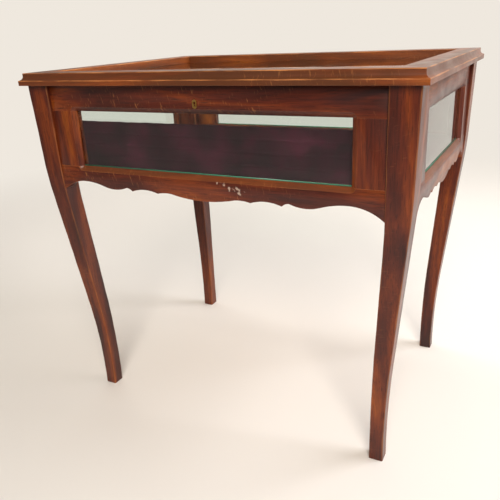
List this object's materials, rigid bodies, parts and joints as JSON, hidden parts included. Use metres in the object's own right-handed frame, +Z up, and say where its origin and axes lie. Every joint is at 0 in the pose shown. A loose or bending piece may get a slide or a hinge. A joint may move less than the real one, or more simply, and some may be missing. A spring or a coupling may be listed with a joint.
{
  "type": "display case",
  "caption": "Table-height display case: shallow glazed oak case on sawn curved legs, with scalloped aprons and a hinged, locking glass lid.",
  "frame": {"origin": "on the floor, under the middle of the table", "axes": "+Z up; the front, with the keyhole, faces -Y; +X to the right seen from the front"},
  "size_m": [0.816, 0.612, 0.75],
  "materials": {
    "stained_oak": "satin varnish",
    "bead_oak": "satin varnish",
    "base_pine": "bare, aged",
    "glass": "clear drawn sheet",
    "velvet": "short pile",
    "brass": "aged",
    "lock_steel": "dull"
  },
  "bodies": {
    "case": {"leg_front_left": "stained_oak", "leg_front_right": "stained_oak", "leg_back_right": "stained_oak", "leg_back_left": "stained_oak", "front_top_rail": "stained_oak", "front_bottom_rail": "stained_oak", "front_stile_left": "stained_oak", "front_stile_right": "stained_oak", "right_top_rail": "stained_oak", "right_bottom_rail": "stained_oak", "right_stile_front": "stained_oak", "right_stile_back": "stained_oak", "back_top_rail": "stained_oak", "back_bottom_rail": "stained_oak", "back_stile_right": "stained_oak", "back_stile_left": "stained_oak", "left_top_rail": "stained_oak", "left_bottom_rail": "stained_oak", "left_stile_back": "stained_oak", "left_stile_front": "stained_oak", "front_pane": "glass", "right_pane": "glass", "back_pane": "glass", "left_pane": "glass", "front_pane_beads": "bead_oak", "right_pane_beads": "bead_oak", "back_pane_beads": "bead_oak", "left_pane_beads": "bead_oak", "base_board": "base_pine", "base_bearer_front": "base_pine", "base_bearer_right": "base_pine", "base_bearer_back": "base_pine", "base_bearer_left": "base_pine", "velvet_lining": "velvet", "hinge_left_case_leaf": "brass", "hinge_right_case_leaf": "brass", "hinge_left_pin": "brass", "hinge_right_pin": "brass", "hinge_case_screws": "brass", "lock_case": "lock_steel", "lock_cap": "lock_steel", "lock_screws": "lock_steel", "escutcheon": "brass", "escutcheon_pins": "brass"},
    "lid": {"lid_member_front": "stained_oak", "lid_member_right": "stained_oak", "lid_member_back": "stained_oak", "lid_member_left": "stained_oak", "lid_glass": "glass", "lid_glass_beads": "bead_oak", "hinge_left_lid_leaf": "brass", "hinge_right_lid_leaf": "brass", "hinge_lid_screws": "brass", "strike_plate": "brass", "strike_screws": "brass"},
    "bolt": {"lock_bolt": "lock_steel"}
  },
  "joints": [
    {"name": "lid_hinge", "type": "hinge", "parent": "case", "child": "lid", "pos_m": [0, 0.296, 0.726], "axis": [-1, 0, 0], "range_deg": [0, 95]},
    {"name": "bolt_slide", "type": "slide", "parent": "case", "child": "bolt", "axis": [0, 0, 1], "range_m": [0, 0.006]}
  ]
}
